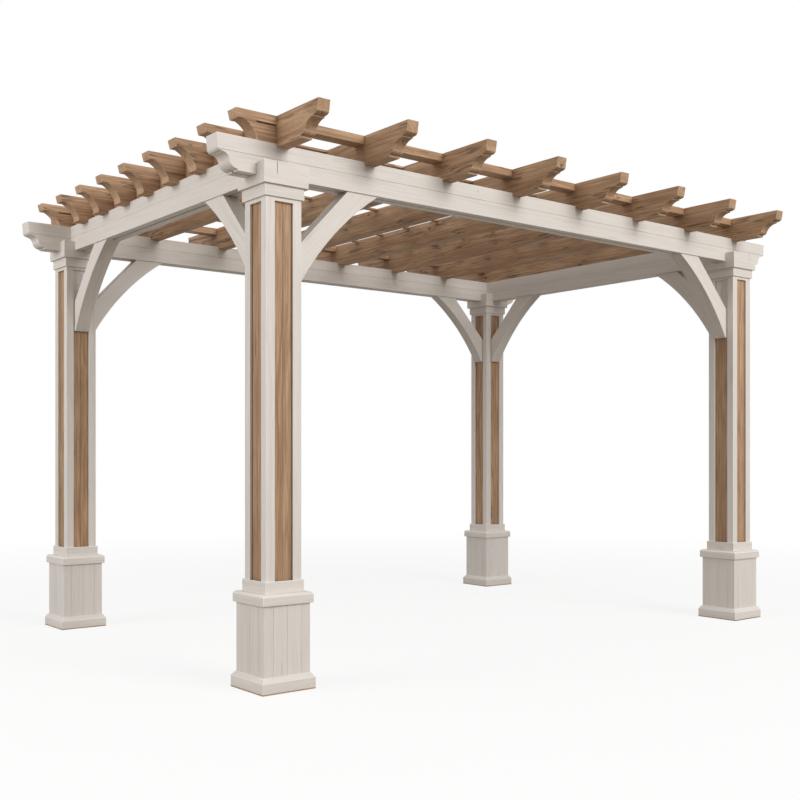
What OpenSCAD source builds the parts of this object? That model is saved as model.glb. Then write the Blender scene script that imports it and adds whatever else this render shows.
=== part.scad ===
// Garden pergola: four panelled posts on square pedestals, a ring of beams with
// scroll-cut ends, curved knee braces, and an open roof: rafters with a purlin over
// each long beam, thin laths let into their tops, and corbelled tails outside the
// outer rafters. X runs along the long side, Y from front to back, Z up. The origin
// is at the middle of the four posts, on the ground.

/* [Layout] */
// Distance between post centres along the long side
post_spacing_x = 3560; // [2600:10:4800]
// Distance between post centres along the short side
post_spacing_y = 2360; // [1800:10:3600]
// Number of rafters
rafter_count = 8; // [5:1:8]
// Number of rows across the rafters: a purlin at each edge, and laths between them
row_count = 9; // [5:1:13]

/* [Pedestals] */
// Thickness of the bare wooden pad under each pedestal
pad_t = 6; // [3:1:12]
// Thickness of the plinth's boards round the pedestal
plinth_t = 19.5; // [8:0.5:40]
// Height of the plinth's upright face above the ground
plinth_face_h = 53; // [35:1:80]
// Height of the plinth's sloping top edge
plinth_slope_h = 21; // [8:1:30]
// Width of the boxed pedestal
pedestal_w = 247; // [206:1:300]
// Thickness of the pedestal's boards
pedestal_board_t = 20; // [12:1:30]
// Height of the pedestal's boards above the ground
pedestal_h = 397; // [300:1:600]
// How far the cap stands out past the pedestal's boards
cap_overhang = 13; // [8:1:30]
// Height of the cap
cap_h = 50; // [30:1:70]
// Size of the sloping edge along the cap's top
cap_slope = 8; // [3:1:12]
// Height of the collar round the foot of the shaft
collar_h = 56; // [30:1:90]
// Thickness of the collar's boards
collar_t = 9; // [6:1:20]

/* [Shafts] */
// Width of the post's shaft across its corner boards
shaft_w = 190; // [158:1:228]
// Width of each corner board's face
corner_board_w = 46; // [30:1:55]
// Depth of the panels behind the corner boards
panel_recess = 14; // [6:1:20]
// Height of the rail across the top of each panel
top_rail_h = 18; // [10:1:40]
// Width of the groove down the middle of each panel
panel_groove_w = 6; // [3:1:10]
// Height of the lower capital trim
capital_h = 54; // [30:1:90]
// Thickness of the lower capital trim
capital_t = 10; // [6:1:20]

/* [Saddles] */
// How far the saddle stands out past the shaft's corner boards
saddle_overhang = 24; // [12:1:40]
// Thickness of the saddle under the beams
saddle_t = 46; // [25:1:70]
// Height of the saddle's horns and outer wall beside the beams
horn_h = 56; // [30:1:100]
// Gap between a horn and the beam beside it
horn_gap = 0.5; // [0.5:0.5:2]
// Rounding of the horns' top edges beside the long beam
horn_round = 14; // [4:1:20]
// Width of the joint between the outer corner horn and the outer wall
horn_joint = 3; // [1:0.5:6]

/* [Beams] */
// Height of the beams' underside above the ground
beam_z = 2353; // [1900:1:2700]
// Height of the beams
beam_h = 156; // [130:1:220]
// Thickness of the beams
beam_t = 102; // [90:1:125]
// Width of the seam between a beam's two planks, along its underside
beam_seam_w = 14; // [4:1:30]
// Depth of that seam
beam_seam_d = 12; // [4:1:30]
// How far the long beams run past the post centres
beam_overhang = 322; // [300:1:450]

/* [Rafters] */
// Height of the rafters
rafter_h = 145; // [125:1:180]
// Thickness of the rafters
rafter_t = 65; // [45:1:80]
// How far the outer rafters stand in from the post centres
rafter_inset = 20; // [0:1:25]
// How far the rafters run past the post centres
rafter_overhang = 392; // [340:1:500]
// How deep the rafters are seated over the beams
rafter_seat = 16; // [4:1:25]
// Slack beside each notched joint
joint_gap = 0.5; // [0.5:0.5:2]

/* [Purlins and laths] */
// Height of the edge purlins and the tails
purlin_h = 42; // [30:1:55]
// Thickness of the edge purlins and the tails
purlin_t = 80; // [40:1:90]
// How far the purlins and tails run past the centre of the outer rafters
purlin_overhang = 245; // [225:1:300]
// Height of the laths let into the rafters' tops
lath_h = 12; // [8:1:20]
// Width of those laths
lath_w = 32; // [20:1:50]
// Height of the slot between a purlin's end and its corbel
slot_h = 7; // [2:1:10]
// Length of that slot
slot_l = 106; // [40:1:120]

/* [Braces] */
// Slack between each side of a brace and the corner board beside it
brace_gap = 6; // [0.5:0.5:12]
// Length of each brace along the beam and down the post
brace_reach = 500; // [400:10:650]
// Where the brace's straight edge meets the beam, out from the panel
brace_inner = 316; // [240:1:340]
// Where the brace's straight edge meets the panel, down from the beam
brace_heel = 330; // [240:1:380]
// Width of the brace's level-cut foot
brace_foot = 24; // [15:1:40]
// Radius of the brace's curved edge
brace_r = 1500; // [700:10:2500]

/* [Hidden] */
POSTS = ["front_left", "front_right", "back_left", "back_right"];

// Colours
painted = "#dcd6cf";
cedar = "#a98a6c";

// Places worked out from the sizes above
half_x = post_spacing_x / 2;
half_y = post_spacing_y / 2;
outer_rafter_x = half_x - rafter_inset;
rafter_step = 2 * outer_rafter_x / (rafter_count - 1);
roof_half = outer_rafter_x + rafter_t / 2;
row_half = half_y + (beam_t - purlin_t) / 2;
row_step = 2 * row_half / (row_count - 1);
plinth_w = pedestal_w + 2 * plinth_t;
cap_w = pedestal_w + 2 * cap_overhang;
core_w = shaft_w - 2 * panel_recess;
panel_gap_w = shaft_w - 2 * corner_board_w;
brace_t = panel_gap_w - 2 * brace_gap;
saddle_w = shaft_w + 2 * saddle_overhang;
shaft_z = pedestal_h + cap_h;
saddle_z = beam_z - saddle_t;
capital_z = saddle_z - capital_h;
beam_top = beam_z + beam_h;
rafter_z = beam_top - rafter_seat;
rafter_top = rafter_z + rafter_h;
purlin_z = rafter_top - purlin_h;
long_beam_half = half_x + beam_overhang;
short_beam_half = half_y - beam_t / 2;
rafter_half = half_y + rafter_overhang;
tail_l = purlin_overhang - rafter_t / 2;

// Flat land along the top of the plinth's slope
plinth_land = 3;

// Scroll cut on the beams' ends: raked face, roll, quirk, fillet, cyma and foot.
// The cyma turns from hollow to round at its bend, a share of the way along it.
beam_face = 54;
beam_rake = 5;
beam_roll = [20, 24];
beam_quirk = 9;
beam_fillet = 3;
beam_cyma_w = 72;
beam_cyma_bend = 0.5;
beam_cyma_bulge = [9, 8];
beam_foot = [6, 8];

// Scroll cut on the rafters' ends, in the same order
rafter_face = 48;
rafter_rake = 9;
rafter_roll = [40, 16];
rafter_quirk = 5;
rafter_fillet = 7;
rafter_cyma_w = 90;
rafter_cyma_bend = 0.8;
rafter_cyma_bulge = [14, 3];
rafter_foot = [9, 12];

// Raked end and cove cut on the purlins' tails and their corbels
tail_rake = 11;
tail_lip = 28;
corbel_cove = 78;
corbel_hollow = 14;
corbel_step = 6;

// Straight pieces that each arc is drawn with
arc_steps = 10;

// How far a cut runs past the piece it cuts
past = 1;

// Points of the arc from p to q without p itself, bulging by rise to that line's left
function arc_points(p, q, rise) =
    let (chord = norm(q - p),
         r = (chord * chord / 4 + rise * rise) / (2 * abs(rise)),
         mid = (p + q) / 2,
         left = [p[1] - q[1], q[0] - p[0]] / chord,
         side = rise > 0 ? 1 : -1,
         centre = mid - left * side * (r - abs(rise)),
         a0 = atan2(p[1] - centre[1], p[0] - centre[0]),
         sweep = -side * 2 * asin(chord / (2 * r)))
    [for (i = [1:arc_steps]) centre + r * [cos(a0 + sweep * i / arc_steps),
                                           sin(a0 + sweep * i / arc_steps)]];

// Quarter of an ellipse that leaves p straight down and comes level into q
function quarter_points(p, q) =
    [for (i = [0:arc_steps]) let (a = 90 * i / arc_steps)
        [q[0] + (p[0] - q[0]) * cos(a), p[1] + (q[1] - p[1]) * sin(a)]];

// Scroll-cut end of a bar h high, from its top corner down, as distance in and height
function scroll_points(h, face, rake, roll, quirk, fillet, cyma_w, bend, bulge, foot) =
    let (roll_end = [roll[0], h - face - roll[1]],
         fillet_top = roll_end + [quirk, 0],
         cyma_start = fillet_top - [0, fillet],
         cyma_end = [cyma_start[0] + cyma_w, foot[1]],
         turn = cyma_start + bend * (cyma_end - cyma_start))
    concat([[0, h]],
           quarter_points([rake, h - face], roll_end),
           [fillet_top, cyma_start],
           arc_points(cyma_start, turn, bulge[0]),
           arc_points(turn, cyma_end, -bulge[1]),
           [[cyma_end[0] + foot[0], foot[1]], [cyma_end[0] + foot[0], 0]]);

// A bar with the same cut at both ends, as an outline of length and height
function two_ended(half, end) =
    concat([for (p = end) [p[0] - half, p[1]]],
           [for (i = [len(end) - 1:-1:0]) [half - end[i][0], end[i][1]]]);

// Stands an outline drawn in X and Y upright in the XZ plane, thickness along Y
module upright_x(t) {
    translate([0, t / 2, 0]) rotate([90, 0, 0]) linear_extrude(t) children();
}

// The same, with the outline's length along Y
module upright_y(t) {
    rotate([0, 0, 90]) upright_x(t) children();
}

// A square ring round a post, from z0 to z1
module ring(outer, inner, z0, z1) {
    translate([0, 0, z0]) linear_extrude(z1 - z0) difference() {
        square(outer, center = true);
        square(inner, center = true);
    }
}

// Puts a post's piece at one of the four corners; its own +X and +Y point inwards
module at_post(post) {
    sx = (post == "front_left" || post == "back_left") ? -1 : 1;
    sy = (post == "front_left" || post == "front_right") ? -1 : 1;
    translate([sx * half_x, sy * half_y, 0]) scale([-sx, -sy, 1]) children();
}

// Thin bare pads that keep the pedestals off the ground
module foot_pads() {
    color(cedar) for (post = POSTS) at_post(post)
        translate([-plinth_w / 2, -plinth_w / 2, 0]) cube([plinth_w, plinth_w, pad_t]);
}

// Board round the foot of the pedestal, its top edge sloping back to the boards
module plinth() {
    slope_top = plinth_face_h + plinth_slope_h;
    color(painted) difference() {
        translate([-plinth_w / 2, -plinth_w / 2, pad_t])
            cube([plinth_w, plinth_w, slope_top - pad_t]);
        translate([-pedestal_w / 2, -pedestal_w / 2, 0])
            cube([pedestal_w, pedestal_w, slope_top + past]);
        for (a = [0, 90, 180, 270]) rotate([0, 0, a]) translate([pedestal_w / 2, 0, 0])
            upright_x(plinth_w + 2 * past) polygon([
                [plinth_t, plinth_face_h], [plinth_t + past, plinth_face_h],
                [plinth_t + past, slope_top + past],
                [plinth_land, slope_top + past], [plinth_land, slope_top]]);
    }
}

// Four boards boxed round the post
module pedestal() {
    color(painted) ring(pedestal_w, pedestal_w - 2 * pedestal_board_t, pad_t, pedestal_h);
}

// Square cap with a sloping top edge, and the collar that stands on it
module pedestal_cap() {
    collar_w = shaft_w + 2 * collar_t;
    color(painted) union() {
        difference() {
            translate([-cap_w / 2, -cap_w / 2, pedestal_h]) cube([cap_w, cap_w, cap_h]);
            translate([-core_w / 2, -core_w / 2, pedestal_h - past])
                cube([core_w, core_w, cap_h + 2 * past]);
            for (a = [0, 90, 180, 270]) rotate([0, 0, a]) translate([cap_w / 2, 0, shaft_z])
                upright_x(cap_w + 2 * past) polygon([
                    [-cap_slope, 0], [0, -cap_slope], [past, -cap_slope], [past, past],
                    [-cap_slope, past]]);
        }
        ring(collar_w, shaft_w, shaft_z, shaft_z + collar_h);
    }
}

// Timber of the shaft, with the panels' middle groove down each face
module shaft() {
    color(cedar) difference() {
        translate([-core_w / 2, -core_w / 2, pad_t])
            cube([core_w, core_w, saddle_z - pad_t]);
        for (a = [0, 90, 180, 270]) rotate([0, 0, a])
            translate([core_w / 2, 0, shaft_z]) linear_extrude(saddle_z - shaft_z + past)
                polygon([[-panel_groove_w / 2, 0], [0, -panel_groove_w / 2],
                         [past, -panel_groove_w / 2], [past, panel_groove_w / 2],
                         [0, panel_groove_w / 2]]);
    }
}

// Boards on the shaft's four corners, joined by a rail across the top of each panel
module corner_boards() {
    rail_z = capital_z - top_rail_h;
    color(painted) difference() {
        ring(shaft_w, core_w, shaft_z, saddle_z);
        for (a = [0, 90]) rotate([0, 0, a])
            translate([-shaft_w / 2 - past, -panel_gap_w / 2, shaft_z - past])
                cube([shaft_w + 2 * past, panel_gap_w, rail_z - shaft_z + past]);
    }
}

// Trim round the top of the shaft
module capital() {
    color(painted) ring(shaft_w + 2 * capital_t, shaft_w, capital_z, saddle_z);
}

// Block on the post that keeps the beams in place: horns at the corners, and a wall
// along its outer side, because the short beam stops at the long one
module saddle() {
    slot_w = beam_t + 2 * horn_gap;
    slot_side = concat(
        [[slot_w / 2, 0]],
        [for (i = [0:arc_steps]) let (a = 90 * i / arc_steps)
            [slot_w / 2 + horn_round * (1 - cos(a)), horn_h - horn_round * (1 - sin(a))]],
        [[slot_w / 2 + horn_round, horn_h + past]]);
    color(painted) difference() {
        translate([-saddle_w / 2, -saddle_w / 2, saddle_z])
            cube([saddle_w, saddle_w, saddle_t + horn_h]);
        translate([0, 0, beam_z]) upright_y(saddle_w + 2 * past) polygon(concat(
            slot_side,
            [for (i = [len(slot_side) - 1:-1:0]) [-slot_side[i][0], slot_side[i][1]]]));
        translate([-slot_w / 2, 0, beam_z])
            cube([slot_w, saddle_w / 2 + past, horn_h + past]);
        translate([-slot_w / 2, -saddle_w / 2 - past, beam_z])
            cube([horn_joint, saddle_w / 2, horn_h + past]);
    }
}

// One knee brace, from the shaft's panel out to the beam, in the XZ plane
module brace() {
    panel_x = core_w / 2;
    foot = [brace_foot, -brace_reach];
    tip = [brace_reach, 0];
    chord = norm(tip - foot);
    rise = brace_r - sqrt(brace_r * brace_r - chord * chord / 4);
    translate([panel_x, 0, beam_z]) upright_x(brace_t) polygon(concat(
        [[brace_inner, 0], [0, -brace_heel], [0, -brace_reach], foot],
        arc_points(foot, tip, rise)));
}

// The two braces of a post, one under each beam
module braces() {
    color(painted) {
        brace();
        mirror([1, -1, 0]) brace();
    }
}

// Long beam with scroll-cut ends
module long_beam() {
    color(painted) translate([0, 0, beam_z]) difference() {
        upright_x(beam_t) polygon(two_ended(long_beam_half, scroll_points(
            beam_h, beam_face, beam_rake, beam_roll, beam_quirk, beam_fillet, beam_cyma_w,
            beam_cyma_bend, beam_cyma_bulge, beam_foot)));
        translate([-long_beam_half - past, -beam_seam_w / 2, -past])
            cube([2 * (long_beam_half + past), beam_seam_w, beam_seam_d + past]);
    }
}

// Short beam butted between the long ones
module short_beam() {
    color(painted) translate([0, 0, beam_z]) difference() {
        translate([-beam_t / 2, -short_beam_half, 0])
            cube([beam_t, 2 * short_beam_half, beam_h]);
        translate([-beam_seam_w / 2, -short_beam_half - past, -past])
            cube([beam_seam_w, 2 * (short_beam_half + past), beam_seam_d + past]);
    }
}

// Place of row j across the rafters; the first and last purlins are flush with the
// long beams' outer faces
function row_y(j) = -row_half + j * row_step;

// Rafter number i, seated over the beams, with notches for the purlins and laths
module rafter(i) {
    x = -outer_rafter_x + (i - 1) * rafter_step;
    on_beam = i == 1 || i == rafter_count;
    seat_w = beam_t + 2 * joint_gap;
    color(cedar) translate([x, 0, 0]) difference() {
        translate([0, 0, rafter_z]) upright_y(rafter_t)
            polygon(two_ended(rafter_half, scroll_points(
                rafter_h, rafter_face, rafter_rake, rafter_roll, rafter_quirk, rafter_fillet,
                rafter_cyma_w, rafter_cyma_bend, rafter_cyma_bulge, rafter_foot)));
        for (s = [-1, 1]) translate([-rafter_t, s * half_y - seat_w / 2, rafter_z - past])
            cube([2 * rafter_t, seat_w, rafter_seat + past]);
        if (on_beam) translate([-rafter_t, -half_y, rafter_z - past])
            cube([2 * rafter_t, 2 * half_y, rafter_seat + past]);
        for (j = [0:row_count - 1]) {
            edge = j == 0 || j == row_count - 1;
            notch_w = (edge ? purlin_t : lath_w) + 2 * joint_gap;
            notch_h = edge ? purlin_h : lath_h;
            translate([-rafter_t, row_y(j) - notch_w / 2, rafter_top - notch_h])
                cube([2 * rafter_t, notch_w, notch_h + past]);
        }
    }
}

// Purlin over each long beam, let into the rafters' tops, with raked ends
module edge_purlins() {
    half = roof_half + tail_l;
    color(cedar) for (j = [0, row_count - 1])
        translate([0, row_y(j), purlin_z]) upright_x(purlin_t)
            polygon([[-half, purlin_h], [tail_rake - half, 0], [half - tail_rake, 0],
                     [half, purlin_h]]);
}

// Thin laths between the purlins, flush with the rafters' tops
module laths() {
    color(cedar) for (j = [1:row_count - 2])
        translate([-roof_half, row_y(j) - lath_w / 2, rafter_top - lath_h])
            cube([2 * roof_half, lath_w, lath_h]);
}

// Tails butted on the outer rafters' faces at the ends of the laths
module tails() {
    color(cedar) for (sx = [-1, 1]) for (j = [1:row_count - 2])
        translate([sx * roof_half, row_y(j), purlin_z]) scale([sx, 1, 1]) upright_x(purlin_t)
            polygon([[0, 0], [0, purlin_h], [tail_l, purlin_h], [tail_l - tail_rake, 0]]);
}

// Corbel under a tail, drawn from the outer rafter's face outwards. One that stands
// along a long beam has a slot under the purlin.
module corbel(along_beam) {
    h = purlin_z - rafter_z;
    cove_x = tail_l - tail_rake - tail_lip;
    foot_x = cove_x - corbel_cove;
    seated_l = along_beam ? tail_l : rafter_inset + (beam_t - rafter_t) / 2 + joint_gap;
    difference() {
        upright_x(purlin_t) polygon(concat(
            [[0, 0], [0, h], [cove_x, h]],
            arc_points([cove_x, h], [foot_x, corbel_step], -corbel_hollow),
            [[foot_x + corbel_step, corbel_step], [foot_x + corbel_step, 0]]));
        translate([-past, -purlin_t, -past])
            cube([seated_l + past, 2 * purlin_t, rafter_seat + past]);
        if (along_beam) translate([-past, -purlin_t, h - slot_h])
            cube([slot_l + past, 2 * purlin_t, slot_h + past]);
    }
}

// Corbels on both sides, one under each tail
module corbels() {
    color(cedar) for (sx = [-1, 1]) for (j = [0:row_count - 1])
        translate([sx * roof_half, row_y(j), rafter_z])
            scale([sx, 1, 1]) corbel(j == 0 || j == row_count - 1);
}

foot_pads();
for (post = POSTS) {
    at_post(post) plinth();
    at_post(post) pedestal();
    at_post(post) pedestal_cap();
    at_post(post) shaft();
    at_post(post) corner_boards();
    at_post(post) capital();
    at_post(post) saddle();
    at_post(post) braces();
}
translate([0, -half_y, 0]) long_beam();  // front_beam
translate([0, half_y, 0]) long_beam();  // back_beam
translate([-half_x, 0, 0]) short_beam();  // left_beam
translate([half_x, 0, 0]) short_beam();  // right_beam
for (i = [1:rafter_count]) {
    rafter(i);
}
edge_purlins();
laths();
tails();
corbels();
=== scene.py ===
"""Garden pergola in off-white painted timber and stained cedar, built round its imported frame.

Every board is a closed mesh of its own: cut by a mitre, grooved or eased at the arrises, and
marked with the direction of its grain, so that one solid timber pattern runs true through all
of them. Lengths are in metres.
"""

import math
import random

import bmesh
import bpy
from bpy.props import FloatProperty, FloatVectorProperty, PointerProperty
from mathutils import Matrix, Vector


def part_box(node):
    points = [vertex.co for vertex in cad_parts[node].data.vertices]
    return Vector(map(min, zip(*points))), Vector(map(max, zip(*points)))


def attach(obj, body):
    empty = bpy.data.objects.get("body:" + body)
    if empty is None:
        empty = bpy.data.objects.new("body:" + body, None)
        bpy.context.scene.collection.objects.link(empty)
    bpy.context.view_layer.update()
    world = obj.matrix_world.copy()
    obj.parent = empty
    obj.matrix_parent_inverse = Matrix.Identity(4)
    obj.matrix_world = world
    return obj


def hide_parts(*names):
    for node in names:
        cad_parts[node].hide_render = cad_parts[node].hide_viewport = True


bl_info = {
    "name": "Garden Pergola",
    "version": (1, 0, 0),
    "blender": (4, 5, 0),
    "location": "View3D > Sidebar > Pergola",
    "description": "Builds a garden pergola of painted posts and beams under a cedar roof",
    "category": "Add Mesh",
}

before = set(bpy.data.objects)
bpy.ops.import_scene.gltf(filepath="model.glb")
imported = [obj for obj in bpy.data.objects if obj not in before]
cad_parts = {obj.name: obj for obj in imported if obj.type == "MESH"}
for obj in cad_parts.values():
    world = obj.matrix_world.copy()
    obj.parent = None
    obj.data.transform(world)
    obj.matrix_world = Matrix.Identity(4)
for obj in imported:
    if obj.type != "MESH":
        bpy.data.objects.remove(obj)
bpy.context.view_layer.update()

POSTS = ["front_left", "front_right", "back_left", "back_right"]
LONG_BEAMS = ["front_beam", "back_beam"]
SHORT_BEAMS = ["left_beam", "right_beam"]
RAFTERS = sorted((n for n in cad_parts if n.startswith("rafter_")),
                 key=lambda name: int(name.split("_")[1]))
BODY = "root"
# Clear boards for casing the posts, knotty timber for the roof, and weathered pads streaked
# darker as painted shade under the plinths.
CEDAR_GRADES = {
    "weathered_shaded_cedar": {"knot_cell": (1.6, 0.3, 0.3), "dryness": 0.2, "streaks": 1.0},
    "clear_cedar": {"knot_cell": (1.6, 0.3, 0.3), "dryness": 0.05, "streaks": 0.35},
    "knotty_cedar": {"knot_cell": (0.3, 0.09, 0.09), "dryness": 0.15, "streaks": 0.45},
}
# How dark the grime and painted shade are in the pedestals' board joints; the beams' joints are 1.
JOINT_SHADE_AND_GRIME = 0.6

UP = Vector((0, 0, 1))
ALONG_X = Vector((1, 0, 0))
ALONG_Y = Vector((0, 1, 0))
MM = 0.001
QUARTER_TURN = math.pi / 2
SHARP_ANGLE = math.radians(25)
SMOOTH_ANGLE = math.radians(18)
FLAT_ANGLE = math.radians(0.5)
WELD = 0.01 * MM

# How nearly a direction has to be upright, or a face square to the grain, to count as it.
NEARLY = 0.9
# Where boards lie in their logs, in metres: how far from the pith, and how far along.
PITH_OFFSET = (0.04, 0.16)
LOG_LENGTH = 40
# Joints between a pedestal's boards, as parts of half its face, from corner to corner.
PEDESTAL_CUTS = [-1.0, -0.6, 0.0, 0.6, 1.0]
# Corner boards are handled more than the rest, so their edges are rounder by this much.
CORNER_WEAR = 1.6
# Post whose panels stay bare cedar above the braces' heels.
BARE_TOPPED = "back_right"

# Sizes of the blotches in each of a log's patterns, in metres: along the grain, then across.
TEAR = (0.03, 0.012, 0.012)
SWAY = (0.7, 0.14, 0.14)
FADE = (0.5, 0.04, 0.04)
FIBRE = (0.2, 0.008, 0.008)
STREAK = (1.1, 0.016, 0.016)
BLOTCH = (0.6, 0.05, 0.05)
DRYING = (0.22, 0.05, 0.05)
# How far the log's rings wander to each side of its pith.
SWAY_REACH = (0.0, 0.06, 0.06)
# How much longer than wide a knot is, and the swirl of grain round it.
KNOT_STRETCH = (2.0, 1, 1)
SWIRL_STRETCH = (4.5, 1, 1)
# How far the swirl reaches, in knot radii, and how many rings it pushes aside.
SWIRL_REACH = 3.5
SWIRL_RINGS = 1.6
# How sharply each ring darkens towards its late growth.
RING_POWER = 2.2

# The two square lamps: side, and place round the point that they face.
KEY_SIZE = 7.0
KEY_PLACE = (1.4, -12.5, 7.0)
FILL_SIZE = 5.0
FILL_PLACE = (-9.0, 0.5, 4.0)
LAMPS_FACE = Vector((0, 0, 1.6))
# The floor turns from paper to plain white between these distances from the middle, and
# starts this white.
PAPER_ENDS = (1.5, 9.0)
PAPER_WHITE = 0.82


def linear(code):
    """The linear colour of an sRGB hex code."""
    parts = [int(code[i:i + 2], 16) / 255 for i in (1, 3, 5)]
    return [c / 12.92 if c <= 0.04045 else ((c + 0.055) / 1.055) ** 2.4 for c in parts]


# ---------------------------------------------------------------- sizes and colours

def length(name, description, default):
    """A length property, given in metres."""
    return FloatProperty(name=name, description=description, default=default,
                         min=0.0, subtype="DISTANCE", unit="LENGTH")


def colour(name, description, code):
    """A colour property, given as an sRGB hex code."""
    return FloatVectorProperty(name=name, description=description, default=linear(code),
                               min=0.0, max=1.0, size=3, subtype="COLOR")


class PergolaJoinery(bpy.types.PropertyGroup):
    """Sizes of the boards that case the posts and of the finish on every edge."""

    arris: length("Arris", "Width of the eased edge on timbers", 2.2 * MM)
    board_arris: length("Board arris", "Width of the eased edge on thin boards", 1.2 * MM)
    # Fillets up to this height get a painted highlight.
    fillet: length("Fillet", "Tallest of the fillets in the rafters' scrolls that take a painted highlight", 14 * MM)
    joint_arris: length("Joint arris", "Width of the eased edge between two glued planks", 1.0 * MM)
    plank_rise: length("Plank rise", "How far above a beam's middle its planks meet", 6 * MM)
    pedestal_board: length("Pedestal board", "Thickness of the pedestal's boards", 20 * MM)
    plinth_face: length("Plinth face", "Height of the plinth's upright face", 53 * MM)
    plinth_land: length("Plinth land", "Flat land along the plinth's top", 3 * MM)
    cap_slope: length("Cap slope", "Size of the sloping edge on the pedestal's cap", 8 * MM)
    collar: length("Collar", "Thickness of the collar round the shaft's foot", 9 * MM)
    corner_board: length("Corner board", "Width of each corner board's face", 46 * MM)
    panel_depth: length("Panel depth", "Thickness of the panels' boards", 9 * MM)
    panel_gap: length("Panel gap", "Open joint beside each panel board", 1.4 * MM)
    panel_bead: length("Panel bead", "Width of the fine beads cut in the panel boards", 3 * MM)
    top_rail: length("Top rail", "Height of the rail across each panel's top", 18 * MM)


class PergolaFinish(bpy.types.PropertyGroup):
    """Colours of the two finishes."""

    paint: colour("Paint", "Off-white paint", "#e7e0da")
    paint_grain: colour("Paint grain", "Grain that shows through the paint", "#cbc4bb")
    paint_knot: colour("Paint knot", "Knots and checks that show through the paint", "#857869")
    # A painted highlight: the arrises are coloured lighter than the paint.
    paint_highlight: colour("Paint edge", "Painted highlight along the arrises", "#f0ece6")
    cedar_light: colour("Cedar light", "Pale early growth of the cedar", "#cfab87")
    cedar_mid: colour("Cedar middle", "Body colour of the cedar", "#b6906d")
    cedar_dark: colour("Cedar dark", "Dark late growth of the cedar", "#7d5a3d")
    cedar_knot: colour("Cedar knot", "Knots and drying checks in the cedar", "#3c2718")
    # A painted highlight: the cedar's arrises are coloured lighter.
    cedar_highlight: colour("Cedar edge", "Painted highlight along the cedar's arrises", "#d3b596")
    cedar_end: colour("Cedar end", "Cedar's end grain, which dries paler and greyer", "#c4a78a")


class PergolaStage(bpy.types.PropertyGroup):
    """Floor, light and camera."""

    floor: colour("Floor", "Pale studio floor", "#efeeec")
    shade: colour("Floor shade", "What the floor throws back up at the timber", "#8c8376")
    floor_size: length("Floor size", "Side of the square floor", 60.0)
    floor_drop: length("Floor drop", "Gap that keeps the floor out of the pads' undersides",
                       0.5 * MM)
    sky: FloatProperty(name="Sky", description="Strength of the even light from all round",
                       default=0.5, min=0.0)
    key: FloatProperty(name="Key light", description="Power of the large soft lamp in front",
                       default=1150.0, min=0.0, unit="POWER")
    fill: FloatProperty(name="Fill light", description="Power of the soft lamp on the left",
                        default=318.0, min=0.0, unit="POWER")
    eye: FloatVectorProperty(name="Eye", description="Place of the camera",
                             default=(-4.462, -5.504, 1.077), subtype="XYZ", unit="LENGTH")
    heading: FloatProperty(name="Heading", description="Turn of the camera to the right of +Y",
                           default=math.radians(38.46), subtype="ANGLE", unit="ROTATION")
    lens: FloatProperty(name="Lens", description="Focal length in millimetres", default=49.0,
                        min=1.0)
    rise: FloatProperty(name="Rise", description="Upward shift of the level view", default=0.069)


# ---------------------------------------------------------------- boards

def marked(bm):
    """Gives a bmesh the layers that every board carries, before any of its parts is held."""
    # Eased edges, which take a painted highlight.
    bm.faces.layers.float.new("arris")
    bm.faces.layers.float.new("tone")
    bm.faces.layers.float.new("end")
    # Grime and painted shade in the joints.
    bm.faces.layers.float.new("grime_and_shade")
    bm.loops.layers.float_vector.new("grain")
    return bm


def prism(outline, push):
    """A closed board: a flat outline of points pushed along a direction."""
    bm = marked(bmesh.new())
    face = bm.faces.new([bm.verts.new(point) for point in outline])
    moved = bmesh.ops.extrude_face_region(bm, geom=[face])["geom"]
    bmesh.ops.translate(bm, vec=push, verts=[v for v in moved if isinstance(v, bmesh.types.BMVert)])
    bmesh.ops.recalc_face_normals(bm, faces=bm.faces)
    return bm


def surround(section):
    """A square surround whose sides meet at mitres: a section of (out, up) points spun round."""
    bm = marked(bmesh.new())
    corners = [bm.verts.new((out, -out, up)) for out, up in section]
    edges = [bm.edges.new((a, b)) for a, b in zip(corners, corners[1:] + corners[:1])]
    bmesh.ops.spin(bm, geom=corners + edges, cent=(0, 0, 0), axis=UP, angle=4 * QUARTER_TURN,
                   steps=4, use_merge=True)
    bmesh.ops.recalc_face_normals(bm, faces=bm.faces)
    return bm


def timbers(node):
    """Copies of a CAD node's solids, with doubles merged and flat faces made whole."""
    whole = marked(bmesh.new())
    whole.from_mesh(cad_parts[node].data)
    bmesh.ops.remove_doubles(whole, verts=whole.verts, dist=WELD)
    bmesh.ops.dissolve_limit(whole, angle_limit=FLAT_ANGLE, verts=whole.verts, edges=whole.edges)
    whole.faces.index_update()
    left = set(whole.faces)
    solids = []
    while left:
        start = min(left, key=lambda face: face.index)
        left.remove(start)
        island, waiting = set(), [start]
        while waiting:
            face = waiting.pop()
            island.add(face.index)
            near = {other for edge in face.edges for other in edge.link_faces} & left
            left -= near
            waiting.extend(near)
        solid = whole.copy()
        others = [face for face in solid.faces if face.index not in island]
        bmesh.ops.delete(solid, geom=others, context="FACES")
        solids.append(solid)
    whole.free()
    return solids


def ease(bm, width):
    """Rounds a board's sharp outer edges and marks the new faces as arrises, which take a painted
    highlight.
    """
    highlit = bm.faces.layers.float["arris"]
    sharp = [edge for edge in bm.edges
             if edge.is_manifold and edge.is_convex and edge.calc_face_angle() > SHARP_ANGLE]
    made = bmesh.ops.bevel(bm, geom=sharp, offset=width, offset_type="OFFSET", segments=2,
                           profile=0.5, affect="EDGES", material=-1, clamp_overlap=True)
    for face in made["faces"]:
        face[highlit] = 1.0
    return bm


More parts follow.
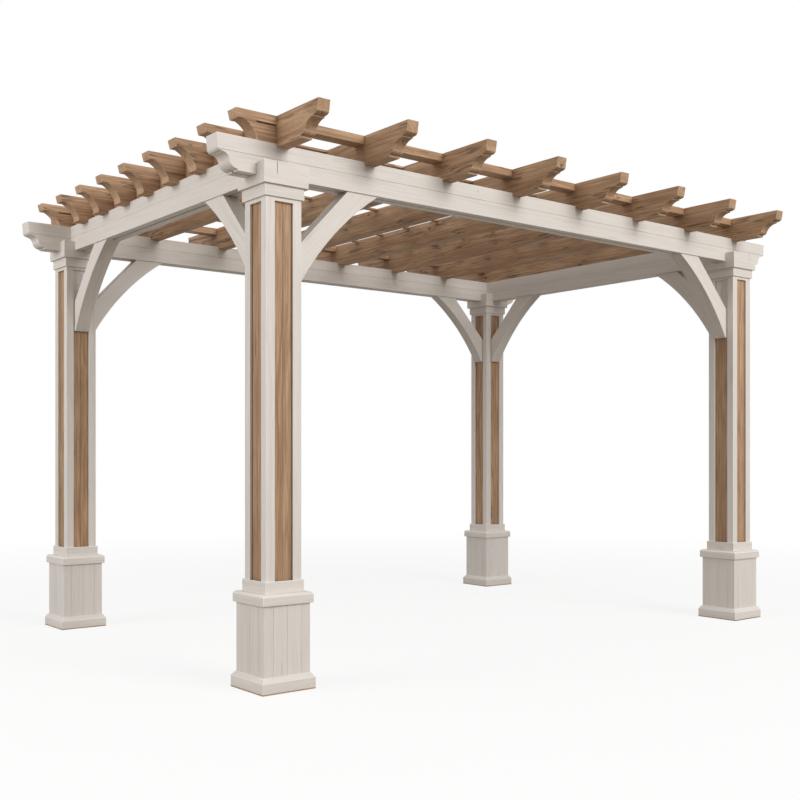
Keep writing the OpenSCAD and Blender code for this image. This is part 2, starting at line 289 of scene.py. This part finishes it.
def shade_and_soil_joints(bm, corner):
    """Swaps a board's eased edges' painted highlight for grime and painted shade, short of the
    corner where the post turns.
    """
    highlit = bm.faces.layers.float["arris"]
    grime_and_shade = bm.faces.layers.float["grime_and_shade"]
    for face in bm.faces:
        if face[highlit] and abs(face.calc_center_median().y) < corner:
            face[highlit] = 0.0
            face[grime_and_shade] = JOINT_SHADE_AND_GRIME
    return bm


def sawn_apart(bm, height, width):
    """The lower and upper planks that a beam is glued up from, with their joint eased and darkened
    with grime and painted shade.
    """
    planks = []
    for way in (-UP, UP):
        plank = bm.copy()
        grime_and_shade = plank.faces.layers.float["grime_and_shade"]
        at = Vector((0, 0, height))
        made = bmesh.ops.bisect_plane(plank, geom=[*plank.verts, *plank.edges, *plank.faces],
                                      plane_co=at, plane_no=way, clear_inner=True)
        rim = [item for item in made["geom_cut"] if isinstance(item, bmesh.types.BMEdge)]
        bmesh.ops.edgeloop_fill(plank, edges=rim)
        bmesh.ops.recalc_face_normals(plank, faces=plank.faces)
        made = bmesh.ops.bevel(plank, geom=rim, offset=width, offset_type="OFFSET", segments=1,
                               profile=0.5, affect="EDGES", material=-1, clamp_overlap=False)
        # The glued joint gets grime and painted shade.
        for face in made["faces"]:
            face[grime_and_shade] = 1.0
        planks.append(plank)
    bm.free()
    return planks


def corners_of(bm):
    """Lowest and highest corner of a bmesh."""
    spans = [[v.co[axis] for v in bm.verts] for axis in range(3)]
    return Vector(map(min, spans)), Vector(map(max, spans))


def longest_way(bm):
    """Direction of a timber's longest side."""
    low, high = corners_of(bm)
    size = high - low
    axis = max(range(3), key=lambda i: size[i])
    return Vector([1.0 if i == axis else 0.0 for i in range(3)])


def sawn_from(chance):
    """Where in its log a board lies: a start along it, an offset from the pith and a tone."""
    turn = chance.uniform(0, 2 * math.pi)
    pith = chance.uniform(*PITH_OFFSET)
    start = chance.uniform(0, LOG_LENGTH)
    return Vector((start, pith * math.cos(turn), pith * math.sin(turn))), chance.random()


def stamp_face(bm, face, way, middle, place):
    """Writes a face's places in the log, along the grain first, the tone of its board, and
    how squarely it cuts across the grain."""
    grain = bm.loops.layers.float_vector["grain"]
    across = (ALONG_X if abs(way.z) > NEARLY else UP.cross(way)).normalized()
    into_log = Matrix((way, across, way.cross(across)))
    start, tone = place
    face[bm.faces.layers.float["tone"]] = tone
    face[bm.faces.layers.float["end"]] = abs(face.normal.dot(way))
    for corner in face.loops:
        corner[grain] = into_log @ (corner.vert.co - middle) + start


def stamp(bm, chance, way):
    """Marks one board with the direction of its grain."""
    low, high = corners_of(bm)
    place = sawn_from(chance)
    bm.normal_update()
    for face in bm.faces:
        stamp_face(bm, face, way, (low + high) / 2, place)
    return bm


def highlight_fillets(bm, tallest):
    """Gives the narrow fillets of a scroll a painted highlight, as on the arrises."""
    highlit = bm.faces.layers.float["arris"]
    end = bm.faces.layers.float["end"]
    for face in bm.faces:
        heights = [vert.co.z for vert in face.verts]
        if face[end] > NEARLY and max(heights) - min(heights) < tallest:
            face[highlit] = 1.0
    return bm


def stamp_sides(bm, chance):
    """Marks a square surround, whose four sides are boards that meet at mitres."""
    places = [sawn_from(chance) for _ in range(4)]
    bm.normal_update()
    for face in bm.faces:
        out = face.calc_center_median()
        side = round(math.atan2(out.y, out.x) / QUARTER_TURN) % 4
        way = Matrix.Rotation(side * QUARTER_TURN, 3, "Z") @ ALONG_Y
        stamp_face(bm, face, way, Vector(), places[side])
    return bm


def turned(bm, quarter):
    """A board built for a post's +X face, turned to another face."""
    matrix = Matrix.Rotation(quarter * QUARTER_TURN, 3, "Z")
    bmesh.ops.rotate(bm, cent=(0, 0, 0), matrix=matrix, verts=bm.verts)
    return bm


def piece(name, boards, material, nodes, place=Vector()):
    """Joins boards into one object that rides on the frame and stands for CAD nodes."""
    joined = bmesh.new()
    for board in boards:
        part = bpy.data.meshes.new("board")
        board.to_mesh(part)
        board.free()
        joined.from_mesh(part)
        bpy.data.meshes.remove(part)
    bmesh.ops.translate(joined, vec=place, verts=joined.verts)
    for edge in joined.edges:
        edge.smooth = edge.is_manifold and edge.calc_face_angle() < SMOOTH_ANGLE
    for face in joined.faces:
        face.smooth = True
    mesh = bpy.data.meshes.new(name)
    joined.to_mesh(mesh)
    joined.free()
    mesh.materials.append(material)
    obj = bpy.data.objects.new(name, mesh)
    bpy.context.scene.collection.objects.link(obj)
    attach(obj, BODY)
    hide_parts(*nodes)
    return obj


# ---------------------------------------------------------------- finishes

def add(tree, kind, feeds=None, **settings):
    """Adds a node, sets its properties, and sets or links its inputs."""
    node = tree.nodes.new(kind)
    for name, value in settings.items():
        setattr(node, name, value)
    for socket, value in (feeds or {}).items():
        if isinstance(value, bpy.types.NodeSocket):
            tree.links.new(value, node.inputs[socket])
        else:
            node.inputs[socket].default_value = value
    return node


def scaled(tree, vector, sizes):
    """A vector measured in its own sizes, so that a noise on it has blotches that large."""
    return add(tree, "ShaderNodeVectorMath", {0: vector, 1: [1 / size for size in sizes]},
               operation="MULTIPLY").outputs[0]


def ranged(tree, value, low, high, smooth=True):
    """A value taken from low and high to 0 and 1."""
    return add(tree, "ShaderNodeMapRange", {"Value": value, "From Min": low, "From Max": high},
               interpolation_type="SMOOTHSTEP" if smooth else "LINEAR").outputs[0]


def product(tree, *values):
    """Several values multiplied together."""
    total = values[0]
    for value in values[1:]:
        total = add(tree, "ShaderNodeMath", {0: total, 1: value}, operation="MULTIPLY").outputs[0]
    return total


def layered(tree, base, *coats):
    """A colour with others laid over it, each as (amount, colour)."""
    for amount, coat in coats:
        base = add(tree, "ShaderNodeMix", {0: amount, 6: base, 7: coat},
                   data_type="RGBA").outputs[2]
    return base


def noise(tree, vector, detail=2.0, roughness=0.5):
    """Noise on a vector that is already in its own sizes."""
    return add(tree, "ShaderNodeTexNoise",
               {"Vector": vector, "Scale": 1.0, "Detail": detail, "Roughness": roughness})


def log_pattern(tree, ring_width, knot_cell, knot_radius, check_cell, check_width, dryness):
    """What a saw finds in a log: growth rings, streaks, fibres, blotches, knots and checks.

    There is about one knot in each knot_cell, a box along and across the log, and the drying
    checks wander through check_cell, which opens them for about check_width of its breadth
    wherever the timber dried faster than dryness allows. The rings are drawn about three
    times as wide as real ones, and the fibres coarser still, because finer ones would be lost
    at the size of a whole pergola.
    """
    log = add(tree, "ShaderNodeAttribute", attribute_name="grain").outputs["Vector"]
    ragged = noise(tree, scaled(tree, log, TEAR), 3.0, 0.6).outputs["Color"]
    ragged = add(tree, "ShaderNodeVectorMath", {0: ragged, 1: TEAR},
                 operation="MULTIPLY").outputs[0]
    torn = add(tree, "ShaderNodeVectorMath", {0: log, 1: ragged}, operation="ADD").outputs[0]
    cells = scaled(tree, torn, knot_cell)
    nearest = add(tree, "ShaderNodeTexVoronoi", {"Vector": cells, "Scale": 1.0, "Randomness": 0.9})
    away = add(tree, "ShaderNodeVectorMath", {0: cells, 1: nearest.outputs["Position"]},
               operation="SUBTRACT").outputs[0]
    away = add(tree, "ShaderNodeVectorMath", {0: away, 1: knot_cell},
               operation="MULTIPLY").outputs[0]
    knot_out = add(tree, "ShaderNodeVectorMath", {0: scaled(tree, away, KNOT_STRETCH)},
                   operation="LENGTH").outputs["Value"]
    swirl_out = add(tree, "ShaderNodeVectorMath", {0: scaled(tree, away, SWIRL_STRETCH)},
                    operation="LENGTH").outputs["Value"]
    knot = ranged(tree, knot_out, knot_radius, knot_radius * 0.4)
    swirl = ranged(tree, swirl_out, knot_radius * SWIRL_REACH, 0.0)

    sway = noise(tree, scaled(tree, log, SWAY)).outputs["Color"]
    sway = add(tree, "ShaderNodeVectorMath", {0: sway, 1: SWAY_REACH},
               operation="MULTIPLY").outputs[0]
    bent = add(tree, "ShaderNodeVectorMath", {0: log, 1: sway}, operation="ADD").outputs[0]
    bent = add(tree, "ShaderNodeVectorMath", {0: bent, 1: (0.0, 1.0, 1.0)},
               operation="MULTIPLY").outputs[0]
    out = add(tree, "ShaderNodeVectorMath", {0: bent}, operation="LENGTH").outputs["Value"]
    out = add(tree, "ShaderNodeMath", {0: swirl, 1: SWIRL_RINGS * ring_width, 2: out},
              operation="MULTIPLY_ADD").outputs[0]
    ring = add(tree, "ShaderNodeMath", {0: out, 1: ring_width}, operation="DIVIDE").outputs[0]
    ring = add(tree, "ShaderNodeMath", {0: ring}, operation="FRACT").outputs[0]
    ring = add(tree, "ShaderNodeMath", {0: ring, 1: RING_POWER}, operation="POWER").outputs[0]
    faint = noise(tree, scaled(tree, log, FADE)).outputs["Fac"]
    ring = product(tree, ring, ranged(tree, faint, 0.3, 0.7))

    fibre = noise(tree, scaled(tree, log, FIBRE), 3.0, 0.6).outputs["Fac"]
    streak = noise(tree, scaled(tree, bent, STREAK), 1.0).outputs["Fac"]
    blotch = noise(tree, scaled(tree, log, BLOTCH)).outputs["Fac"]
    crack = noise(tree, scaled(tree, log, check_cell), 1.0).outputs["Fac"]
    crack = add(tree, "ShaderNodeMath", {0: crack, 1: 0.5}, operation="SUBTRACT").outputs[0]
    crack = add(tree, "ShaderNodeMath", {0: crack}, operation="ABSOLUTE").outputs[0]
    dry = noise(tree, scaled(tree, log, DRYING), 1.0).outputs["Fac"]
    crack = product(tree, ranged(tree, crack, check_width, 0.25 * check_width),
                    ranged(tree, dry, 0.72 - dryness, 0.80 - dryness))
    # The arrises carry a painted highlight, and the joints grime with painted shade.
    marks = {name: add(tree, "ShaderNodeAttribute", attribute_name=name).outputs["Fac"]
             for name in ("tone", "arris", "end", "grime_and_shade")}
    crack = product(tree, crack, ranged(tree, marks["end"], 0.8, 0.4))
    return {"ring": ring, "fibre": ranged(tree, fibre, 0.33, 0.67),
            "streak": ranged(tree, streak, 0.5, 0.72), "blotch": blotch,
            "knot": knot, "swirl": swirl, "crack": crack, **marks}


def new_material(name):
    """An empty material, its tree and the output node."""
    material = bpy.data.materials.new(name)
    material.use_nodes = True
    tree = material.node_tree
    tree.nodes.clear()
    return material, tree


def finished(tree, colour_socket, rough, height, depth):
    """Closes a timber's tree with a matt wooden surface and its relief."""
    relief = add(tree, "ShaderNodeBump", {"Height": height, "Strength": 1.0, "Distance": depth})
    shader = add(tree, "ShaderNodeBsdfPrincipled", {
        "Base Color": colour_socket, "Roughness": rough, "IOR": 1.5,
        "Normal": relief.outputs[0]})
    add(tree, "ShaderNodeOutputMaterial", {"Surface": shader.outputs[0]})


def painted_timber(finish):
    """Pine under satin off-white exterior paint: smooth and pale, with the grain, a few small
    knots and hairline checks just telegraphing through, a painted highlight on the arrises,
    and grime with painted shade in the joints."""
    material, tree = new_material("painted_pine")
    log = log_pattern(tree, ring_width=0.022, knot_cell=(0.5, 0.11, 0.11), knot_radius=0.005,
                      check_cell=(0.5, 0.012, 0.012), check_width=0.05, dryness=0.03)
    tint = [*finish.paint, 1]
    grain = [*finish.paint_grain, 1]
    mark = [*finish.paint_knot, 1]
    colours = layered(
        tree, tint,
        (product(tree, log["blotch"], 0.55), grain),
        (product(tree, log["ring"], 0.30), grain),
        (product(tree, log["fibre"], 0.22), grain),
        (product(tree, log["streak"], 0.35), grain),
        (product(tree, log["tone"], 0.18), grain),
        (product(tree, log["knot"], 0.55), mark),
        (product(tree, log["crack"], 0.22), mark),
        # Grime and painted shade in the joints.
        (product(tree, log["grime_and_shade"], log["fibre"], 0.5), mark),
        # Painted highlight along the arrises.
        (product(tree, log["arris"], 0.8), [*finish.paint_highlight, 1]))
    rough = add(tree, "ShaderNodeMapRange", {"Value": log["fibre"], "To Min": 0.48, "To Max": 0.62})
    height = layered(tree, log["fibre"], (0.4, log["ring"]),
                     (product(tree, log["crack"], 0.5), [0, 0, 0, 1]))
    finished(tree, colours, rough.outputs[0], height, 0.4 * MM)
    return material


def cedar_timber(finish, name, knot_cell, dryness, streaks):
    """Western red cedar under an open-pored oil stain: matt warm brown, with growth rings
    that arch along the faces, dark knots and fine drying checks, pale end grain, and a
    painted highlight on the arrises."""
    material, tree = new_material(name)
    log = log_pattern(tree, ring_width=0.018, knot_cell=knot_cell, knot_radius=0.012,
                      check_cell=(0.22, 0.013, 0.013), check_width=0.08, dryness=dryness)
    dark = [*finish.cedar_dark, 1]
    mark = [*finish.cedar_knot, 1]
    body = layered(tree, [*finish.cedar_light, 1],
                   (ranged(tree, log["blotch"], 0.3, 0.7), [*finish.cedar_mid, 1]))
    colours = layered(
        tree, body,
        (product(tree, log["ring"], 0.62), dark),
        (product(tree, log["fibre"], 0.55), dark),
        (product(tree, log["streak"], streaks), dark),
        (product(tree, log["tone"], 0.25), dark),
        (product(tree, log["swirl"], 0.45), dark),
        (product(tree, ranged(tree, log["end"], 0.6, 0.95), 0.2), [*finish.cedar_end, 1]),
        (product(tree, log["knot"], 0.85), mark),
        (product(tree, log["crack"], 0.65), mark),
        # Painted highlight along the arrises.
        (product(tree, log["arris"], 0.35), [*finish.cedar_highlight, 1]))
    rough = add(tree, "ShaderNodeMapRange", {"Value": log["fibre"], "To Min": 0.58, "To Max": 0.75})
    height = layered(tree, log["fibre"], (0.4, log["ring"]), (log["crack"], [0, 0, 0, 1]))
    finished(tree, colours, rough.outputs[0], height, 0.6 * MM)
    return material


def finish_named(name):
    """The paint or a grade of cedar, made when it is first asked for."""
    made = bpy.data.materials.get(name)
    if made:
        return made
    finish = bpy.context.scene.pergola_finish
    if name in CEDAR_GRADES:
        return cedar_timber(finish, name, **CEDAR_GRADES[name])
    return painted_timber(finish)


def painted(name, boards, nodes, place=Vector()):
    """A painted piece."""
    return piece(name, boards, finish_named("painted_pine"), nodes, place)


def cedar(name, boards, nodes, place=Vector(), grade="clear_cedar"):
    """A cedar piece."""
    return piece(name, boards, finish_named(grade), nodes, place)


# ---------------------------------------------------------------- pieces

def post_centre(post):
    """Middle of a post, on the ground."""
    low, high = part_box("shaft_" + post)
    return Vector(((low.x + high.x) / 2, (low.y + high.y) / 2, 0))


def half_width(node):
    """Half of a square node's width."""
    low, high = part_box(node)
    return (high.x - low.x) / 2


def plan_board(start, end, back, front, bottom, top, mitre=0.0, beads=(), bead=0.0):
    """An upright board on a post's +X face, from its plan: start and end along the face, back
    and front as distances out. A mitre cuts its back shorter at the post's corners, and each
    bead is a fine V down its front."""
    inner = front - mitre if mitre else math.inf
    outline = [(back, max(start, -inner)), (front, start)]
    for at in beads:
        outline += [(front, at - bead / 2), (front - bead / 2, at), (front, at + bead / 2)]
    outline += [(front, end), (back, min(end, inner))]
    return prism([(x, y, bottom) for x, y in outline], UP * (top - bottom))


class PERGOLA_OT_pads(bpy.types.Operator):
    """Lays the bare cedar pads that keep the pedestals off the ground"""

    bl_idname = "pergola.pads"
    bl_label = "Foot Pads"

    def execute(self, context):
        sizes = context.scene.pergola_joinery
        chance = random.Random("pads")
        # The pads' edges lose their painted highlight.
        pads = [stamp(shade_and_soil_joints(ease(bm, sizes.board_arris), math.inf), chance, ALONG_X)
                for bm in timbers("foot_pads")]
        # The pads' cedar is streaked darker: weathering, and painted shade under the plinths.
        cedar("foot_pads_bevelled", pads, ["foot_pads"], grade="weathered_shaded_cedar")
        return {"FINISHED"}


class PERGOLA_OT_pedestals(bpy.types.Operator):
    """Boxes each post's foot: plinth, boarded pedestal, and cap with its collar"""

    bl_idname = "pergola.pedestals"
    bl_label = "Pedestals"

    def execute(self, context):
        sizes = context.scene.pergola_joinery
        pad_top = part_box("foot_pads")[1].z
        for post in POSTS:
            chance = random.Random("pedestal " + post)
            place = post_centre(post)
            face = half_width("pedestal_" + post)
            plinth = half_width("plinth_" + post)
            plinth_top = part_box("plinth_" + post)[1].z
            around = surround([
                (face, pad_top), (plinth, pad_top), (plinth, sizes.plinth_face),
                (face + sizes.plinth_land, plinth_top), (face, plinth_top)])
            painted("plinth_boards_" + post,
                    [stamp_sides(ease(around, sizes.arris), chance)],
                    ["plinth_" + post], place)

            boards = []
            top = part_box("pedestal_" + post)[1].z
            for quarter in range(4):
                for start, end in zip(PEDESTAL_CUTS, PEDESTAL_CUTS[1:]):
                    board = plan_board(start * face, end * face, face - sizes.pedestal_board,
                                       face, pad_top, top, sizes.pedestal_board)
                    # Between the pedestal's boards the painted highlight gives way to grime and
                    # painted shade.
                    shade_and_soil_joints(ease(board, sizes.board_arris), face - sizes.arris)
                    boards.append(turned(stamp(board, chance, UP), quarter))
            painted("pedestal_boards_" + post, boards, ["pedestal_" + post], place)

            cap = half_width("pedestal_cap_" + post)
            core = half_width("shaft_" + post)
            cap_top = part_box("corner_boards_" + post)[0].z
            shaft = half_width("corner_boards_" + post)
            collar_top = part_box("pedestal_cap_" + post)[1].z
            lid = surround([(core, top), (cap, top), (cap, cap_top - sizes.cap_slope),
                            (cap - sizes.cap_slope, cap_top), (core, cap_top)])
            collar = surround([(shaft, cap_top), (shaft + sizes.collar, cap_top),
                               (shaft + sizes.collar, collar_top), (shaft, collar_top)])
            painted("cap_boards_" + post,
                    [stamp_sides(ease(bm, sizes.arris), chance) for bm in (lid, collar)],
                    ["pedestal_cap_" + post], place)
        return {"FINISHED"}


class PERGOLA_OT_shafts(bpy.types.Operator):
    """Cases each post: core, panel boards, corner boards with top rails, and capital"""

    bl_idname = "pergola.shafts"
    bl_label = "Shafts"

    def execute(self, context):
        sizes = context.scene.pergola_joinery
        for post in POSTS:
            chance = random.Random("shaft " + post)
            place = post_centre(post)
            panel = half_width("shaft_" + post)
            shaft = half_width("corner_boards_" + post)
            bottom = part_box("shaft_" + post)[0].z
            start, top = (corner.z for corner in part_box("corner_boards_" + post))
            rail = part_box("capital_" + post)[0].z - sizes.top_rail
            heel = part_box("braces_" + post)[0].z
            side = shaft - sizes.corner_board

            back = panel - sizes.panel_depth
            core = prism([(back, -back, bottom), (back, back, bottom), (-back, back, bottom),
                          (-back, -back, bottom)], UP * (top - bottom))
            boards = [stamp(core, chance, UP)]
            raised = []
            inward = {(0 if place.x < 0 else 2), (1 if place.y < 0 else 3)}
            paint_above = inward if post != BARE_TOPPED else set()
            for quarter in range(4):
                split = heel if quarter in paint_above else top
                for low, high, pile in ((start, split, boards), (split, top, raised)):
                    if high <= low:
                        continue
                    for end in (-side, side):
                        near, far = sorted((math.copysign(sizes.panel_gap / 2, end),
                                            end - math.copysign(sizes.panel_gap, end)))
                        third = (far - near) / 3
                        board = plan_board(near, far, back, panel, low, high,
                                           beads=(near + third, far - third),
                                           bead=sizes.panel_bead)
                        ease(board, sizes.board_arris)
                        pile.append(turned(stamp(board, chance, UP), quarter))
            cedar("panels_" + post, boards, ["shaft_" + post], place)
            if raised:
                painted("panel_tops_" + post, raised, ["shaft_" + post], place)

            boards = []
            for quarter in range(4):
                corner = prism([(shaft, shaft, start), (side, shaft, start), (side, panel, start),
                                (panel, panel, start), (panel, side, start),
                                (shaft, side, start)], UP * (top - start))
                ease(corner, sizes.board_arris * CORNER_WEAR)
                boards.append(turned(stamp(corner, chance, UP), quarter))
                rail_board = plan_board(-side, side, panel, shaft, rail, top)
                ease(rail_board, sizes.board_arris)
                boards.append(turned(stamp(rail_board, chance, ALONG_Y), quarter))
            painted("corners_and_rails_" + post, boards, ["corner_boards_" + post], place)

            ring = half_width("capital_" + post)
            low, high = (corner.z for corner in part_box("capital_" + post))
            capital = surround([(shaft, low), (ring, low), (ring, high), (shaft, high)])
            painted("capital_boards_" + post,
                    [stamp_sides(ease(capital, sizes.arris), chance)],
                    ["capital_" + post], place)
        return {"FINISHED"}


class PERGOLA_OT_saddles(bpy.types.Operator):
    """Eases the saddle blocks that carry the beams"""

    bl_idname = "pergola.saddles"
    bl_label = "Saddles"

    def execute(self, context):
        sizes = context.scene.pergola_joinery
        for post in POSTS:
            chance = random.Random("saddle " + post)
            blocks = [stamp(ease(bm, sizes.arris), chance, ALONG_X)
                      for bm in timbers("saddle_" + post)]
            painted("saddle_block_" + post, blocks, ["saddle_" + post])
        return {"FINISHED"}


class PERGOLA_OT_braces(bpy.types.Operator):
    """Eases the curved knee braces, with the grain along their length"""

    bl_idname = "pergola.braces"
    bl_label = "Knee Braces"

    def execute(self, context):
        sizes = context.scene.pergola_joinery
        for post in POSTS:
            chance = random.Random("brace " + post)
            centre = post_centre(post)
            curved = []
            for bm in timbers("braces_" + post):
                low, high = corners_of(bm)
                out = (low + high) / 2 - centre
                axis = 0 if abs(out.x) > abs(out.y) else 1
                way = UP.copy()
                way[axis] = math.copysign(1.0, out[axis])
                curved.append(stamp(ease(bm, sizes.arris), chance, way.normalized()))
            painted("knee_braces_" + post, curved, ["braces_" + post])
        return {"FINISHED"}


class PERGOLA_OT_beams(bpy.types.Operator):
    """Eases the ring of beams, each glued up from two planks"""

    bl_idname = "pergola.beams"
    bl_label = "Beams"

    def execute(self, context):
        sizes = context.scene.pergola_joinery
        for node in LONG_BEAMS + SHORT_BEAMS:
            chance = random.Random(node)
            low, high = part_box(node)
            middle = (low.z + high.z) / 2 + sizes.plank_rise
            planks = []
            for bm in timbers(node):
                for plank in sawn_apart(ease(bm, sizes.arris), middle, sizes.joint_arris):
                    planks.append(stamp(plank, chance, longest_way(plank)))
            painted(node + "_planks", planks, [node])
        return {"FINISHED"}


class PERGOLA_OT_roof(bpy.types.Operator):
    """Eases the rafters, the purlins and laths let into them, and the corbelled tails"""

    bl_idname = "pergola.roof"
    bl_label = "Roof"

    def execute(self, context):
        sizes = context.scene.pergola_joinery
        for node in RAFTERS + ["edge_purlins", "laths", "tails", "corbels"]:
            chance = random.Random(node)
            way = ALONG_Y if node in RAFTERS else ALONG_X
            solids = timbers(node)
            for number, bm in enumerate(solids, 1):
                # The scrolls' narrow fillets get a painted highlight.
                highlight_fillets(stamp(ease(bm, sizes.arris), chance, way), sizes.fillet)
                many = len(solids) > 1
                name = f"{node[:-1]}_{number}" if many else node + "_timber"
                cedar(name, [bm], [node], grade="knotty_cedar")
        return {"FINISHED"}


class PERGOLA_OT_stage(bpy.types.Operator):
    """Sets the floor, the even sky, the two soft lamps and the camera"""

    bl_idname = "pergola.stage"
    bl_label = "Stage"

    def execute(self, context):
        stage = context.scene.pergola_stage
        scene = context.scene

        bm = bmesh.new()
        below = Matrix.Translation((0, 0, -stage.floor_drop))
        bmesh.ops.create_grid(bm, x_segments=1, y_segments=1, size=stage.floor_size / 2,
                              matrix=below)
        mesh = bpy.data.meshes.new("floor")
        bm.to_mesh(mesh)
        bm.free()
        floor = bpy.data.objects.new("floor", mesh)
        scene.collection.objects.link(floor)
        mesh.materials.append(studio_floor(stage))

        scene.world = studio_sky(stage)
        for name, power, size, place in (("key", stage.key, KEY_SIZE, KEY_PLACE),
                                         ("fill", stage.fill, FILL_SIZE, FILL_PLACE)):
            lamp = bpy.data.lights.new(name, "AREA")
            lamp.energy = power
            lamp.size = size
            holder = bpy.data.objects.new(name, lamp)
            aim = LAMPS_FACE - Vector(place)
            holder.matrix_world = (Matrix.Translation(place)
                                   @ aim.to_track_quat("-Z", "Y").to_matrix().to_4x4())
            scene.collection.objects.link(holder)

        camera = bpy.data.cameras.new("camera")
        camera.lens = stage.lens
        camera.shift_y = stage.rise
        camera.clip_end = stage.floor_size * 2
        eye = bpy.data.objects.new("camera", camera)
        eye.location = stage.eye
        eye.rotation_euler = (QUARTER_TURN, 0, -stage.heading)
        scene.collection.objects.link(eye)
        scene.camera = eye
        scene.view_settings.view_transform = "Standard"
        return {"FINISHED"}


def seen_directly(tree):
    """1 for rays that show a surface as itself: from the eye, a reflection or through glass."""
    path = add(tree, "ShaderNodeLightPath")
    seen = path.outputs["Is Camera Ray"]
    for other in ("Is Glossy Ray", "Is Transmission Ray"):
        seen = add(tree, "ShaderNodeMath", {0: seen, 1: path.outputs[other]},
                   operation="MAXIMUM").outputs[0]
    return seen


def studio_floor(stage):
    """Seamless matt paper: pale where the pergola stands, and white further out."""
    material, tree = new_material("studio_paper")
    place = add(tree, "ShaderNodeTexCoord").outputs["Object"]
    out = add(tree, "ShaderNodeVectorMath", {0: place}, operation="LENGTH").outputs["Value"]
    away = add(tree, "ShaderNodeMapRange", {"Value": out, "From Min": PAPER_ENDS[0],
                                            "From Max": PAPER_ENDS[1],
                                            "To Min": PAPER_WHITE, "To Max": 1.0},
               interpolation_type="SMOOTHSTEP").outputs[0]
    fleck = noise(tree, scaled(tree, place, (0.02, 0.02, 0.02)), 3.0).outputs["Fac"]
    colours = layered(tree, [*stage.floor, 1],
                      (product(tree, fleck, 0.04), [*linear("#d9d7d3"), 1]))
    seen = seen_directly(tree)
    colours = layered(tree, [*stage.shade, 1], (seen, colours))
    paper = add(tree, "ShaderNodeBsdfDiffuse", {"Color": colours}).outputs[0]
    white = add(tree, "ShaderNodeEmission", {"Color": (1, 1, 1, 1), "Strength": 1.0}).outputs[0]
    shown = product(tree, seen, away)
    mixed = add(tree, "ShaderNodeMixShader", {0: shown, 1: paper, 2: white}).outputs[0]
    add(tree, "ShaderNodeOutputMaterial", {"Surface": mixed})
    return material


def studio_sky(stage):
    """Even light from all round, which shows as plain white."""
    world = bpy.data.worlds.new("studio_sky")
    world.use_nodes = True
    tree = world.node_tree
    tree.nodes.clear()
    light = add(tree, "ShaderNodeBackground", {"Color": (1, 1, 1, 1), "Strength": stage.sky})
    white = add(tree, "ShaderNodeBackground", {"Color": (1, 1, 1, 1), "Strength": 1.0})
    mixed = add(tree, "ShaderNodeMixShader", {0: seen_directly(tree), 1: light.outputs[0],
                                              2: white.outputs[0]})
    add(tree, "ShaderNodeOutputWorld", {"Surface": mixed.outputs[0]})
    return world


# ---------------------------------------------------------------- add-on

GROUPS = {"pergola_joinery": PergolaJoinery, "pergola_finish": PergolaFinish,
          "pergola_stage": PergolaStage}
OPERATORS = [PERGOLA_OT_pads, PERGOLA_OT_pedestals, PERGOLA_OT_shafts, PERGOLA_OT_saddles,
             PERGOLA_OT_braces, PERGOLA_OT_beams, PERGOLA_OT_roof, PERGOLA_OT_stage]


class PERGOLA_PT_build(bpy.types.Panel):
    """Lists the pergola's build steps and their sizes and colours"""

    bl_idname = "PERGOLA_PT_build"
    bl_label = "Garden Pergola"
    bl_space_type = "VIEW_3D"
    bl_region_type = "UI"
    bl_category = "Pergola"

    def draw(self, context):
        for operator in OPERATORS:
            self.layout.operator(operator.bl_idname)
        for name, group in GROUPS.items():
            box = self.layout.box()
            for prop in group.__annotations__:
                box.prop(getattr(context.scene, name), prop)


def register():
    for cls in [*GROUPS.values(), *OPERATORS, PERGOLA_PT_build]:
        bpy.utils.register_class(cls)
    for name, group in GROUPS.items():
        setattr(bpy.types.Scene, name, PointerProperty(type=group))


def unregister():
    for name in GROUPS:
        delattr(bpy.types.Scene, name)
    for cls in reversed([*GROUPS.values(), *OPERATORS, PERGOLA_PT_build]):
        bpy.utils.unregister_class(cls)


def main():
    register()
    bpy.ops.pergola.pads()
    bpy.ops.pergola.pedestals()
    bpy.ops.pergola.shafts()
    bpy.ops.pergola.saddles()
    bpy.ops.pergola.braces()
    bpy.ops.pergola.beams()
    bpy.ops.pergola.roof()
    bpy.ops.pergola.stage()


if __name__ == "__main__":
    main()
